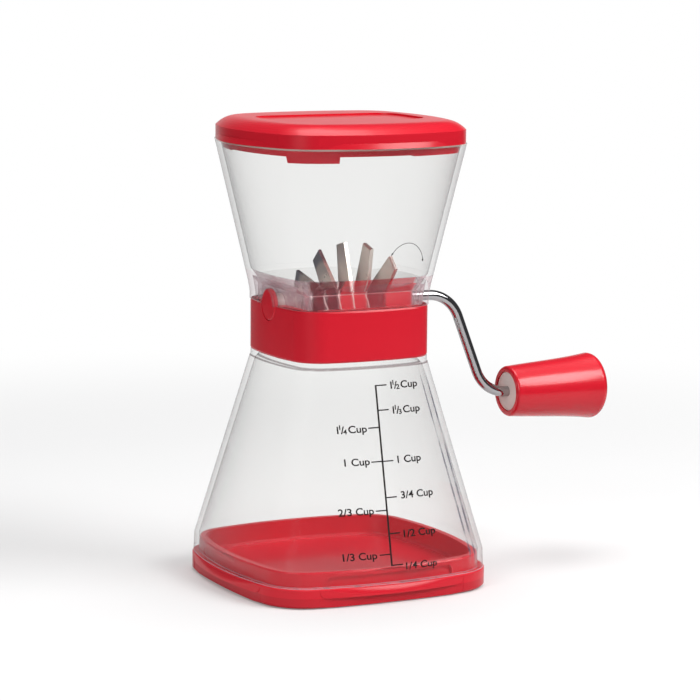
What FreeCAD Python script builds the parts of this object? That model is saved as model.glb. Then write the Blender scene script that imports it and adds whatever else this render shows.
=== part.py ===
"""Hand-cranked food chopper: hopper with lid, helical tine rotor, container on a tray base.

Millimetres. Origin at the centre of the underside, +Z up, +X along the rotor's axis towards the
crank, -Y towards the side that carries the measuring scale.
"""
import FreeCAD, Part
import math
import os

V = FreeCAD.Vector

# ---- heights -------------------------------------------------------------------------------
BASE_RIM_TOP = 7.5          # shelf that the container stands on
COLLAR_HEIGHT = 19.3        # red band between container and hopper
CONTAINER_HEIGHT = 80.2     # shelf of the base to the underside of the collar
HOPPER_HEIGHT = 60.9        # top of the collar to the rim under the lid
LID_BAND = 5.1              # upright band round the lid
LID_DOME = 3.5              # rise of the lid above its band

CONTAINER_TOP = BASE_RIM_TOP + CONTAINER_HEIGHT
AXIS_Z = CONTAINER_TOP + COLLAR_HEIGHT          # rotor axis lies on the split of collar and hopper
HOPPER_TOP = AXIS_Z + HOPPER_HEIGHT
LID_CREASE = HOPPER_TOP + LID_BAND

# ---- plans: half width at mid side, corner radius, outward bow of each side -------------------
BASE_PLAN = (49.9, 19.0, 3.5)
CONTAINER_FOOT_PLAN = (49.4, 18.6, 3.4)
HOPPER_MOUTH_PLAN = (44.1, 19.0, 4.0)
LID_PLAN = (43.8, 19.0, 4.0)
COLLAR_CORNER = 12.0        # the collar's half width follows from the tines, see collar_plan()
COLLAR_BOW = 1.5
HEAD_STEP = 0.25            # container's shoulder beyond the collar
NECK_STEP = 0.35            # hopper's neck beyond the collar
FLARE_STEP = 0.85           # foot of the hopper's straight wall beyond its neck

# ---- walls and clearances --------------------------------------------------------------------
SHELL_WALL = 2.2            # clear hopper and container
SPIGOT_WALL = 1.7           # container neck inside the collar
COLLAR_WALL = 2.0
SLIP = 0.3                  # between pieces that lift apart
SNUG = 0.15                 # between pieces fixed to each other
RUN = 0.05                  # radial running clearance of the rod in its bushes and the grip
PRESS = 0.02                # radial gap drawn for a pressed fit
END_PLAY = 0.1              # axial play of turning pieces

# ---- base ------------------------------------------------------------------------------------
TRAY_RISE = 5.8             # tray wall above the shelf, inside the container
TRAY_WALL = 2.6
TRAY_FLOOR = 5.2            # top of the tray's floor
PAD_THICKNESS = 2.4         # non-slip pad in the underside
PAD_PROUD = 0.4             # how far the pad stands below the rim
PAD_INSET = 4.0             # rim left round the pad
EDGE_ROUND = 0.7
SCOOP_HALF = 30.0           # finger lip at the top of each side, with the wall scooped out below it
SCOOP_DEPTH = 1.9           # at mid side, fading out towards the corners
SCOOP_RISE = 3.9            # height of the lip's lower edge
WINDOW_HALF = 26.0          # recess in each side of the tray wall
WINDOW_DEPTH = 0.9
WINDOW_MARGIN = 2.1         # tray wall left over the recess
WINDOW_CORNER = 2.0

# ---- container ---------------------------------------------------------------------------------
FOOT_BAND = 7.0             # upright band at the container's foot
BEAD_HEIGHT = 2.1           # upright band at the container's shoulder
BEAD_STEP = 0.3             # its wall inside the shoulder's edge
SHOULDER_DROP = 2.4         # inside slope from the wall to the spigot

# ---- collar, housing and combs -------------------------------------------------------------------
SPIGOT_RISE = 9.3           # container neck inside the collar
WEB_THICKNESS = 1.2         # ledge in the collar that carries the housing
THROAT_HALF_X = 17.2        # clear of the row of tines
SWING_CLEARANCE = 0.46      # between the tines' swing and the throat's long walls
THROAT_CORNER = 0.8
FUNNEL_DEPTH = 5.0          # sloped mouth at the housing's ends
COMB_SEAT = 1.2             # housing left under the combs
COMB_BAR = 1.7
HOUSING_BACK = 3.05         # housing left behind each comb
COMB_INSET = 0.9            # bar's ends to the throat's ends
COMB_DEPTH = 6.4            # height of the comb's bar
COMB_TIP_Y = 8.0            # finger tips, from the rotor's axis
COMB_TIP_DEPTH = 2.6
COMB_TIP_DROP = 1.4         # tip's upper edge below the bar's top
COMB_TIP_RUN = 1.5          # sloped end of the finger
FINE_GAP = 0.6              # finger to tine, each side
COARSE_GAP = 1.35

# ---- hopper --------------------------------------------------------------------------------------
NECK_HEIGHT = 2.4           # upright neck above the collar
FLARE_HEIGHT = 5.0          # curved run from the neck to the straight wall
ARCH_RADIUS = 7.2           # arched rim round the axle cap
ARCH_PROUD = 0.9
SKIRT_ROOT = 11.4           # inner funnel: height of its root above the axis
SKIRT_KNEE = 5.5            # where its slope turns upright
SKIRT_CLEARANCE = 0.95      # between the tines' swing and its upright wall
SKIRT_CORNER = 1.6
SKIRT_BOW = 0.7
SKIRT_WALL = 1.5
SKIRT_SINK = 0.8            # its upper edge inside the hopper's wall
SKIRT_LAP = 0.3             # its slope's run past the root, so that no ledge is left there

# ---- lid -------------------------------------------------------------------------------------------
LID_PLUG_DEPTH = 5.4
LID_PLUG_WALL = 2.0
LID_SKIN = 2.2
LID_PLATEAU_PLAN = (34.2, 12.0, 2.4)
LID_FULLNESS = 2.3          # how soon the dome gains its height from the crease inwards
LID_STEPS = 8
PANEL_HALF_X = 30.0         # bare recessed panel in the lid's top
PANEL_HALF_Y = 17.5
PANEL_CORNER = 9.0
PANEL_DEPTH = 0.7
LID_LUG_DEPTH = 2.4         # two opposite corners of the plug reach deeper than the rest
LID_LUG_X = 19.0            # a lug's ends, from the middle of the sides it stands on
LID_LUG_Y = 28.0
LID_STEP = 0.4              # the other two corners reach this much deeper
LID_STEP_FROM = 10.7        # their ends, from the middle of the sides
LIP_HALF = 29.0             # finger lips at mid side
LIP_REACH = 1.2
LIP_SINK = 0.5              # lip's ends inside the band
LIP_HEIGHT = 2.0
LIP_ROOT = 4.0              # lip's back edge, shorter than its front at each end

# ---- rotor ---------------------------------------------------------------------------------------
ROD_RADIUS = 2.0
ROD_SQUARE = 3.4            # squared stretch that drives the tines
TINE_COUNT = 6
TINE_PITCH = 5.75
TINE_MID_X = 0.82           # middle of the row of tines
TINE_THICKNESS = 1.4
TINE_REACH = 21.8
TINE_TIP_WIDTH = 6.4
TINE_EYE_RADIUS = 5.4
TINE_FIRST_LEAN = -101.3    # degrees from upright, forward positive
TINE_STEP = 29.3            # turn from one tine to the next
TINE_BEVEL = 0.45
SPACER_RADIUS = 4.4
BUSH_RADIUS = 4.0
WASHER_THICKNESS = 0.4
WASHER_RADIUS = 4.8
CLIP_THICKNESS = 0.6
CLIP_RADIUS = 4.2
CLIP_SCALLOP = 0.9          # radius of the two notches beside its prongs
CLIP_MOUTH = 0.8            # open side, as a share of the groove's diameter
GROOVE_RADIUS = 1.5
CAP_RADIUS = 6.0
CAP_THICKNESS = 1.4
CAP_SKIN = 0.6              # cap's face beyond the rod's end
CAP_DOME = 0.4
CAP_RECESS = 1.4            # depth of the cap's seat in the collar's wall
CAP_SEAT_RUN = 10.0         # length of the cut that opens the seat outwards

# ---- crank and grip --------------------------------------------------------------------------------
CRANK_THROW = 40.0
CRANK_BEND_X = 48.3         # where the axis line meets the arm's line
CRANK_ARM_LEAN = 21.4       # degrees from upright
BEND_RADIUS = 14.0
GRIP_START_X = 74.0
GRIP_LENGTH = 40.0
GRIP_NECK_RADIUS = 9.95     # end towards the crank
GRIP_WAIST_RADIUS = 10.7
GRIP_FLARE_RADIUS = 11.85
GRIP_BELLY_RADIUS = 13.0
GRIP_RIM_ROUND = 1.2
GRIP_NOSE_ROUND = 3.0
DISC_RADIUS = 7.7           # pale disc in the grip's end
DISC_THICKNESS = 2.6
DISC_INSET = 0.5
RETAINER_RADIUS = 6.0
RETAINER_THICKNESS = 1.2
RETAINER_SLIT = 0.8         # width and depth of the slits between its teeth
RETAINER_SLIT_DEPTH = 1.6
RETAINER_TEETH = 6
GRIP_ROD_DEPTH = 34.0       # rod inside the grip


# ==== helpers ========================================================================================
class Plan:
    """Rounded square seen from above: bowed sides that run tangent into round corners."""

    def __init__(self, half, corner, bow):
        self.half = half
        self.corner = corner
        self.bow = bow

    def inset(self, distance):
        """Parallel plan, distance further in."""
        return Plan(self.half - distance, self.corner - distance, self.bow)

    def towards(self, other, share):
        """Plan a share of the way to another."""
        return Plan(self.half + (other.half - self.half) * share,
                    self.corner + (other.corner - self.corner) * share,
                    self.bow + (other.bow - self.bow) * share)

    def arcs(self):
        """Side radius, corner centre and half angle of a side."""
        chord = self.half - self.corner
        side = (chord ** 2 + self.bow ** 2) / (2 * self.bow)
        shift = self.half - side
        root = math.sqrt(4 * shift ** 2 - 8 * (shift ** 2 - (side - self.corner) ** 2))
        centre = (2 * shift + root) / 4
        return side, centre, math.atan2(centre, centre - shift)

    def wire(self, z):
        """Closed wire of four sides and four corners at a height."""
        side, centre, angle = self.arcs()
        shift = self.half - side
        edges = []
        for turn in range(4):
            start = turn * math.pi / 2

            def place(x, y):
                return V(x * math.cos(start) - y * math.sin(start),
                         x * math.sin(start) + y * math.cos(start), z)

            def on_side(a):
                return place(shift + side * math.cos(a), side * math.sin(a))

            def on_corner(a):
                return place(centre + self.corner * math.cos(a), centre + self.corner * math.sin(a))

            edges.append(Part.Arc(on_side(-angle), on_side(0), on_side(angle)).toShape())
            edges.append(Part.Arc(on_corner(angle), on_corner(math.pi / 4),
                                  on_corner(math.pi / 2 - angle)).toShape())
        return Part.Wire(edges)


def swing_radius():
    """Reach of a tine's corners from the rotor's axis."""
    return math.hypot(TINE_TIP_WIDTH / 2, TINE_REACH)


def throat_half_y():
    """Half width of the throat across the rotor's axis."""
    return swing_radius() + SWING_CLEARANCE


def collar_plan():
    """Outside of the collar, built out from the tines' swing through comb, housing and wall."""
    half = throat_half_y() + COMB_BAR + SNUG + HOUSING_BACK + SNUG + COLLAR_WALL
    return Plan(half, COLLAR_CORNER, COLLAR_BOW)


def head_plan():
    """Edge of the container's shoulder."""
    return collar_plan().inset(-HEAD_STEP)


def neck_plan():
    """Outside of the hopper's neck."""
    return collar_plan().inset(-NECK_STEP)


def flare_plan():
    """Foot of the hopper's straight wall."""
    return neck_plan().inset(-FLARE_STEP)


def stack(*levels):
    """Solid through (height, plan) levels with straight walls between them."""
    return Part.makeLoft([plan.wire(z) for z, plan in levels], True, True)


def column(plan, low, high):
    """Upright solid of one plan."""
    return Part.Face(plan.wire(low)).extrude(V(0, 0, high - low))


def box(low, high):
    """Box between two corners."""
    return Part.makeBox(high[0] - low[0], high[1] - low[1], high[2] - low[2], V(*low))


def well(half_x, half_y, corner, low, high):
    """Upright block with rounded corners, centred on Z."""
    block = box((-half_x, -half_y, low), (half_x, half_y, high))
    upright = [e for e in block.Edges if abs(e.Vertexes[0].Z - e.Vertexes[1].Z) > (high - low) / 2]
    return block.makeFillet(corner, upright)


def axial(radius, start, end, z=AXIS_Z):
    """Cylinder along X about the rotor's or the grip's axis."""
    return Part.makeCylinder(radius, end - start, V(start, 0, z), V(1, 0, 0))


def turned(profile, z):
    """Revolve of (x, radius) points about the X line at height z."""
    points = [V(x, 0, z + r) for x, r in profile]
    face = Part.Face(Part.makePolygon(points + points[:1]))
    return face.revolve(V(0, 0, z), V(1, 0, 0), 360)


def scoop_panel(half, low, middle, high):
    """Outline on the -Y side below a lip, whose lower edge turns up into the rim at both ends."""
    turn = high - middle
    bulge = turn * (1 - math.sqrt(0.5))
    ends = [Part.Arc(V(sign * half, 0, high), V(sign * (half - bulge), 0, middle + bulge),
                     V(sign * (half - turn), 0, middle)).toShape() for sign in (-1, 1)]
    rest = [V(half, 0, high), V(half, 0, low), V(-half, 0, low), V(-half, 0, high)]
    lines = [Part.makeLine(V(half - turn, 0, middle), V(turn - half, 0, middle))]
    lines += [Part.makeLine(*pair) for pair in zip(rest, rest[1:])]
    return Part.Face(Part.Wire(Part.__sortEdges__(ends + lines)))


def side_panel(half, low, high, corner):
    """Outline on the -Y side: a rectangle with round upper corners."""
    bulge = corner * (1 - math.sqrt(0.5))
    rounds = [Part.Arc(V(sign * half, 0, high - corner), V(sign * (half - bulge), 0, high - bulge),
                       V(sign * (half - corner), 0, high)).toShape() for sign in (-1, 1)]
    run = [V(half - corner, 0, high), V(corner - half, 0, high)]
    rest = [V(half, 0, high - corner), V(half, 0, low), V(-half, 0, low), V(-half, 0, high - corner)]
    lines = [Part.makeLine(*run)] + [Part.makeLine(*pair) for pair in zip(rest, rest[1:])]
    return Part.Face(Part.Wire(Part.__sortEdges__(rounds + lines)))


def on_four_sides(shape):
    """The shape and its copies a quarter turn apart about Z."""
    copies = []
    for turn in range(4):
        copy = shape.copy()
        copy.rotate(V(0, 0, 0), V(0, 0, 1), 90 * turn)
        copies.append(copy)
    return copies


def skin_patches(panel, plan, core, low, high):
    """Layer between a plan's surface and a core, limited to a panel on each of the four sides."""
    outer, reach = plan.inset(-1.0), plan.half + 2 * plan.bow
    layer = column(outer, low, high).cut(column(core, low, high))
    panel.translate(V(0, -reach, 0))
    prism = panel.extrude(V(0, reach, 0))
    return [layer.common(side) for side in on_four_sides(prism)]


def finger_lips(plan, low, high):
    """Lens-shaped lips that swell from the middle of each side, widest at the low edge."""
    side, _, _ = plan.arcs()
    drop = side - math.sqrt(side ** 2 - LIP_HALF ** 2)
    end_y = LIP_SINK + drop - plan.half

    def lens(z, reach):
        outer = Part.Arc(V(-LIP_HALF, end_y, z), V(0, -plan.half - reach, z),
                         V(LIP_HALF, end_y, z)).toShape()
        root = LIP_HALF - LIP_ROOT
        back = V(root, end_y + LIP_ROOT, z), V(-root, end_y + LIP_ROOT, z)
        return Part.Wire([outer, Part.makeLine(V(LIP_HALF, end_y, z), back[0]),
                          Part.makeLine(*back), Part.makeLine(back[1], V(-LIP_HALF, end_y, z))])

    lip = Part.makeLoft([lens(low, LIP_REACH), lens(high, LIP_REACH / 4)], True, True)
    return on_four_sides(lip)


# ==== base ============================================================================================
def base_cap():
    """Red tray that closes the container from below, with finger scoops under its rim."""
    plan = Plan(*BASE_PLAN)
    rim = stack((PAD_PROUD, plan.inset(EDGE_ROUND)), (PAD_PROUD + EDGE_ROUND, plan),
                (BASE_RIM_TOP - EDGE_ROUND / 2, plan), (BASE_RIM_TOP, plan.inset(EDGE_ROUND / 2)))
    tray = tray_plan()
    tray_top = BASE_RIM_TOP + TRAY_RISE
    wall = stack((TRAY_FLOOR, tray), (tray_top - EDGE_ROUND, tray),
                 (tray_top, tray.inset(EDGE_ROUND / 2)))
    pan = tray.inset(TRAY_WALL)
    body = rim.fuse(wall).cut(stack((TRAY_FLOOR, pan.inset(1.2)), (TRAY_FLOOR + 1.2, pan),
                                    (tray_top + 1, pan)))
    body = body.cut(column(plan.inset(PAD_INSET), -1, PAD_THICKNESS))
    scoop = scoop_panel(SCOOP_HALF, -1, SCOOP_RISE, BASE_RIM_TOP - EDGE_ROUND / 2)
    scooped = Plan(plan.half - SCOOP_DEPTH, plan.corner - SCOOP_DEPTH, plan.bow - SCOOP_DEPTH)
    scoops = skin_patches(scoop, plan, scooped, -1, BASE_RIM_TOP)
    window = side_panel(WINDOW_HALF, BASE_RIM_TOP, tray_top - WINDOW_MARGIN, WINDOW_CORNER)
    windows = skin_patches(window, tray, tray.inset(WINDOW_DEPTH), BASE_RIM_TOP, tray_top)
    for cutter in scoops + windows:
        body = body.cut(cutter)
    return body.removeSplitter()


def foot_pad():
    """Non-slip pad pressed into the underside, which the chopper stands on."""
    plan = Plan(*BASE_PLAN).inset(PAD_INSET + SNUG)
    return stack((0, plan.inset(EDGE_ROUND)), (EDGE_ROUND, plan), (PAD_THICKNESS, plan))


def tray_plan():
    """Plan of the tray's wall, which slips inside the container's foot."""
    return Plan(*CONTAINER_FOOT_PLAN).inset(SHELL_WALL + SLIP)


# ==== container =========================================================================================
def container():
    """Clear flared container with an upright foot, a narrow band at its shoulder and a neck."""
    foot, head = Plan(*CONTAINER_FOOT_PLAN), head_plan()
    band_top = BASE_RIM_TOP + FOOT_BAND
    bead_low = CONTAINER_TOP - BEAD_HEIGHT
    spigot = spigot_plan()
    neck_top = CONTAINER_TOP + SPIGOT_RISE
    bead = head.inset(BEAD_STEP)
    outside = stack((BASE_RIM_TOP, foot), (band_top, foot.inset(0.3)), (bead_low - BEAD_STEP, head),
                    (bead_low, bead), (CONTAINER_TOP - BEAD_STEP / 2, bead),
                    (CONTAINER_TOP, bead.inset(BEAD_STEP / 2)))
    outside = outside.fuse(stack((CONTAINER_TOP - 1, spigot), (neck_top - EDGE_ROUND, spigot),
                                 (neck_top, spigot.inset(EDGE_ROUND / 2))))
    mouth = spigot.inset(SPIGOT_WALL)
    slope_top = CONTAINER_TOP - 1.2
    inside = stack((BASE_RIM_TOP - 1, foot.inset(SHELL_WALL)),
                   (band_top, foot.inset(SHELL_WALL)),
                   (slope_top - SHOULDER_DROP, head.inset(SHELL_WALL - 0.2)),
                   (slope_top, mouth), (neck_top + 1, mouth))
    return outside.cut(inside).removeSplitter()


def spigot_plan():
    """Outside of the container's neck, inside the collar."""
    return collar_plan().inset(COLLAR_WALL + SLIP)


# ==== collar, housing, combs ==============================================================================
def bush_tunnel(radius, start, end):
    """Round passage on the rotor's axis."""
    return axial(radius, start, end)


def cap_seat():
    """Round seat of the axle cap, open to the left."""
    seat = collar_plan().half - CAP_RECESS
    return axial(CAP_RADIUS + 2 * END_PLAY, -seat - CAP_SEAT_RUN, -seat)


def collar():
    """Red band that joins hopper and container and carries the housing on a ledge."""
    plan = collar_plan()
    inside = plan.inset(COLLAR_WALL)
    web_low = CONTAINER_TOP + SPIGOT_RISE + SLIP
    body = stack((CONTAINER_TOP, plan.inset(EDGE_ROUND / 2)), (CONTAINER_TOP + EDGE_ROUND, plan),
                 (AXIS_Z - EDGE_ROUND, plan), (AXIS_Z, plan.inset(EDGE_ROUND / 2)))
    body = body.cut(column(inside, CONTAINER_TOP - 1, web_low))
    body = body.cut(column(inside, web_low + WEB_THICKNESS, AXIS_Z + 1))
    body = body.cut(well(THROAT_HALF_X, throat_half_y(), THROAT_CORNER, web_low - 1, AXIS_Z))
    for tunnel in (bush_tunnel(BUSH_RADIUS + SNUG, -40, 40), cap_seat()):
        body = body.cut(tunnel)
    return body.removeSplitter()


def housing_floor():
    """Underside of the rotor housing."""
    return CONTAINER_TOP + SPIGOT_RISE + SLIP + WEB_THICKNESS


def housing_plan():
    """Outside of the rotor housing, inside the collar."""
    return collar_plan().inset(COLLAR_WALL + SNUG)


def rotor_housing():
    """Red throat inside the collar, with sloped ends, saddles for the bushes and comb rebates."""
    low, high = housing_floor(), AXIS_Z
    plan = housing_plan()
    body = stack((low, plan), (high - EDGE_ROUND / 2, plan), (high, plan.inset(EDGE_ROUND / 2)))
    body = body.cut(well(THROAT_HALF_X, throat_half_y(), THROAT_CORNER, low - 1, high + 1))
    mouth = skirt_plan()
    saddle = BUSH_RADIUS + SNUG
    for sign in (-1, 1):
        slope = [V(sign * THROAT_HALF_X, 0, high - FUNNEL_DEPTH), V(sign * mouth.half, 0, high),
                 V(sign * mouth.half, 0, high + 2), V(sign * (THROAT_HALF_X - 2), 0, high + 2),
                 V(sign * (THROAT_HALF_X - 2), 0, high - FUNNEL_DEPTH)]
        wedge = Part.Face(Part.makePolygon(slope + slope[:1])).extrude(V(0, 2 * plan.half, 0))
        wedge.translate(V(0, -plan.half, 0))
        body = body.cut(wedge.common(column(mouth, low, high + 3)))
        end = sign * (plan.half + 1)
        body = body.cut(axial(saddle, min(0, end), max(0, end)))
        back = throat_half_y() + COMB_BAR + SNUG
        near, far = sorted((sign * (throat_half_y() - THROAT_CORNER), sign * back))
        end = THROAT_HALF_X - COMB_INSET + SNUG
        body = body.cut(box((-end, near, low + COMB_SEAT), (end, far, high + 1)))
    return body.removeSplitter()


def tine_x(index):
    """Middle plane of a tine."""
    return TINE_MID_X + (index - (TINE_COUNT - 1) / 2) * TINE_PITCH


def comb(gap, side):
    """Toothed bar whose fingers stand between the tines; side is +1 at the back, -1 in front."""
    low = housing_floor() + COMB_SEAT
    high = low + COMB_DEPTH
    end_x = THROAT_HALF_X - COMB_INSET
    body = box((-end_x, throat_half_y(), low), (end_x, throat_half_y() + COMB_BAR, high))
    clear = TINE_THICKNESS / 2 + gap
    spans = [(tine_x(i) + clear, tine_x(i + 1) - clear) for i in range(TINE_COUNT - 1)]
    spans.insert(0, (-end_x, tine_x(0) - clear))
    root = throat_half_y() + COMB_BAR / 2
    for start, end in spans:
        outline = [V(start, root, low), V(start, root, high),
                   V(start, COMB_TIP_Y + COMB_TIP_RUN, high - COMB_TIP_DROP / 2),
                   V(start, COMB_TIP_Y, high - COMB_TIP_DROP), V(start, COMB_TIP_Y, high - COMB_TIP_DEPTH)]
        finger = Part.Face(Part.makePolygon(outline + outline[:1]))
        body = body.fuse(finger.extrude(V(end - start, 0, 0)))
    body = body.removeSplitter()
    if side < 0:
        body = body.mirror(V(0, 0, 0), V(0, 1, 0))
    return body


# ==== hopper and lid =======================================================================================
def hopper_levels(inset):
    """Levels of the hopper's wall from neck to mouth."""
    neck, flare, mouth = neck_plan(), flare_plan(), Plan(*HOPPER_MOUTH_PLAN)
    neck_top = AXIS_Z + NECK_HEIGHT
    flare_top = neck_top + FLARE_HEIGHT
    levels = [(AXIS_Z, neck), (neck_top, neck)]
    for share, swell in ((0.3, 0.22), (0.6, 0.55)):
        levels.append((neck_top + FLARE_HEIGHT * share, neck.towards(flare, swell)))
    levels += [(flare_top, flare), (HOPPER_TOP, mouth)]
    return [(z, plan.inset(inset)) for z, plan in levels]


def skirt_plan():
    """Inside of the hopper's upright inner wall, clear of the tines' swing."""
    return Plan(swing_radius() + SKIRT_CLEARANCE, SKIRT_CORNER, SKIRT_BOW)


def hopper():
    """Clear hopper: neck, curved flare, straight wall, inner funnel, and an arch over the axle cap."""
    neck_wall = neck_plan().half - collar_plan().half + COLLAR_WALL
    inner = hopper_levels(SHELL_WALL)
    bottom = neck_plan().inset(neck_wall)
    inside = [(AXIS_Z - 1, bottom), (AXIS_Z + SNUG, bottom)] + inner[1:]
    (low_z, low_plan), (top_z, top_plan) = inner[-2:]
    inside.append((top_z + 1, top_plan))
    arch_face = neck_plan().half + ARCH_PROUD
    arch = axial(ARCH_RADIUS, -arch_face, -bottom.half)
    arch = arch.common(box((-arch_face, -ARCH_RADIUS, AXIS_Z), (0, ARCH_RADIUS, AXIS_Z + ARCH_RADIUS)))
    root, knee, foot = AXIS_Z + SKIRT_ROOT, AXIS_Z + SKIRT_KNEE, AXIS_Z + SNUG
    wall = low_plan.towards(top_plan, (root - low_z) / (top_z - low_z))
    well_inside = skirt_plan()
    well_outside = well_inside.inset(-SKIRT_WALL)
    sunk = wall.inset(-SKIRT_SINK)
    skirt = stack((foot, well_outside), (knee, well_outside), (root - 1, sunk), (root, sunk))
    skirt = skirt.cut(stack((foot - 1, well_inside), (knee, well_inside),
                            (root + SKIRT_LAP, wall.inset(-SKIRT_LAP / 6))))
    body = stack(*hopper_levels(0)).cut(stack(*inside)).fuse([arch, skirt])
    for tunnel in (bush_tunnel(BUSH_RADIUS + SNUG, -40, 40), cap_seat()):
        body = body.cut(tunnel)
    return body.removeSplitter()


def plug_levels(inset):
    """Tapered plug of the lid that follows the hopper's inside."""
    levels = hopper_levels(SHELL_WALL + SLIP + inset)
    (low_z, low), (high_z, high) = levels[-2:]
    share = 1 - LID_PLUG_DEPTH / (high_z - low_z)
    return (HOPPER_TOP - LID_PLUG_DEPTH, low.towards(high, share)), (HOPPER_TOP, high)


def plug_relief(low):
    """What is cut off the plug's lower edge, so that two opposite corners stay deep as lugs."""
    edge, high = LID_PLAN[0], low + LID_LUG_DEPTH
    relief = box((-edge, -edge, low - 1), (edge, edge, high))
    for sign in (-1, 1):
        lug_x, lug_y = sorted((sign * edge, sign * LID_LUG_X)), sorted((sign * edge, sign * LID_LUG_Y))
        relief = relief.cut(box((lug_x[0], lug_y[0], low - 2), (lug_x[1], lug_y[1], high)))
        step_x = sorted((sign * edge, sign * LID_STEP_FROM))
        step_y = sorted((-sign * edge, -sign * LID_STEP_FROM))
        relief = relief.cut(box((step_x[0], step_y[0], high - LID_STEP), (step_x[1], step_y[1], high)))
    return relief


def hopper_lid():
    """Red lid: upright band with finger lips, low dome with a bare panel, and a plug with two lugs."""
    plan, plateau = Plan(*LID_PLAN), Plan(*LID_PLATEAU_PLAN)
    top = LID_CREASE + LID_DOME
    levels = [(HOPPER_TOP, plan)]
    for step in range(LID_STEPS + 1):
        share = step / LID_STEPS
        rise = LID_DOME * (1 - (1 - share) ** LID_FULLNESS)
        levels.append((LID_CREASE + rise, plan.towards(plateau, share)))
    body = stack(*levels)
    for lip in finger_lips(plan, HOPPER_TOP, HOPPER_TOP + LIP_HEIGHT):
        body = body.fuse(lip)
    (plug_low, low_plan), (plug_high, high_plan) = plug_levels(0)
    body = body.fuse(stack((plug_low, low_plan), (plug_high, high_plan)))
    pocket_low, pocket_high = plug_levels(LID_PLUG_WALL)
    body = body.cut(stack((pocket_low[0] - 1, pocket_low[1]), pocket_low))
    body = body.cut(stack((pocket_low[0], pocket_low[1]), (top - PANEL_DEPTH - LID_SKIN, pocket_low[1])))
    body = body.cut(well(PANEL_HALF_X, PANEL_HALF_Y, PANEL_CORNER, top - PANEL_DEPTH, top + 1))
    return body.cut(plug_relief(plug_low)).removeSplitter()


# ==== rotor ================================================================================================
def drive_bore(start, end, gap):
    """Squared bar with rounded corners along the axis: the drive of tines and spacers."""
    half = ROD_SQUARE / 2 + gap
    bar = box((start, -half, AXIS_Z - half), (end, half, AXIS_Z + half))
    return bar.common(axial(ROD_RADIUS + gap, start, end))


def tine(index):
    """Flat tapered tine with a round eye, its tip bevelled on the left face."""
    start = tine_x(index) - TINE_THICKNESS / 2
    half_tip = TINE_TIP_WIDTH / 2
    away = math.hypot(half_tip, TINE_REACH)
    turn = math.atan2(half_tip, TINE_REACH) + math.acos(TINE_EYE_RADIUS / away)

    def at(across, up):
        return V(start, across, AXIS_Z + up)

    touch = TINE_EYE_RADIUS * math.sin(turn), TINE_EYE_RADIUS * math.cos(turn)
    left, right = at(-touch[0], touch[1]), at(*touch)
    tip_left, tip_right = at(-half_tip, TINE_REACH), at(half_tip, TINE_REACH)
    outline = Part.Wire([Part.makeLine(left, tip_left), Part.makeLine(tip_left, tip_right),
                         Part.makeLine(tip_right, right),
                         Part.Arc(right, at(0, -TINE_EYE_RADIUS), left).toShape()])
    body = Part.Face(outline).extrude(V(TINE_THICKNESS, 0, 0))
    tip = [e for e in body.Edges if abs(e.Vertexes[0].Z - AXIS_Z - TINE_REACH) < 1e-6
           and abs(e.Vertexes[-1].Z - AXIS_Z - TINE_REACH) < 1e-6
           and abs(e.Vertexes[0].X - start) < 1e-6 and abs(e.Vertexes[-1].X - start) < 1e-6]
    body = body.makeChamfer(TINE_BEVEL, tip)
    body.rotate(V(0, 0, AXIS_Z), V(1, 0, 0), TINE_FIRST_LEAN + TINE_STEP * index)
    return body.cut(drive_bore(start - 1, start + TINE_THICKNESS + 1, PRESS))


def spacer(start, end):
    """Sleeve on the squared rod that holds two tines apart."""
    return axial(SPACER_RADIUS, start, end).cut(drive_bore(start - 1, end + 1, PRESS))


def stack_ends():
    """Ends of the row of tines along the axis."""
    return (tine_x(0) - TINE_THICKNESS / 2, tine_x(TINE_COUNT - 1) + TINE_THICKNESS / 2)


def bush_end():
    """Inner end face of each bush, from the middle."""
    return THROAT_HALF_X - END_PLAY


def washer(side):
    """Thrust washer against the inner end of a bush."""
    inner = bush_end() - END_PLAY - WASHER_THICKNESS
    start = inner if side > 0 else -inner - WASHER_THICKNESS
    ring = axial(WASHER_RADIUS, start, start + WASHER_THICKNESS)
    return ring.cut(axial(ROD_RADIUS + 2 * PRESS, start - 1, start + WASHER_THICKNESS + 1))


def clip_start():
    """Left face of the clip that locks the row of tines."""
    return bush_end() - 2 * END_PLAY - WASHER_THICKNESS - CLIP_THICKNESS


def retaining_clip():
    """E-clip in the rod's groove beside the last tine."""
    start = clip_start()
    body = axial(CLIP_RADIUS, start, start + CLIP_THICKNESS)
    body = body.cut(axial(GROOVE_RADIUS + PRESS, start - 1, start + 2))
    half_mouth = GROOVE_RADIUS * CLIP_MOUTH
    body = body.cut(box((start - 1, -half_mouth, AXIS_Z - 2 * CLIP_RADIUS), (start + 2, half_mouth, AXIS_Z)))
    for sign in (-1, 1):
        beside = V(start - 1, sign * (GROOVE_RADIUS + CLIP_SCALLOP), AXIS_Z + CLIP_SCALLOP)
        body = body.cut(Part.makeCylinder(CLIP_SCALLOP, CLIP_THICKNESS + 2, beside, V(1, 0, 0)))
    return body


def bush(side):
    """Plain bush held in the housing's saddle, between collar and hopper."""
    inner = bush_end()
    outer = collar_plan().half - (CAP_RECESS + END_PLAY if side < 0 else -0.3)
    start = inner if side > 0 else -outer
    ring = axial(BUSH_RADIUS, start, start + outer - inner)
    return ring.cut(axial(ROD_RADIUS + RUN, start - 1, start + outer - inner + 1))


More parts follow.
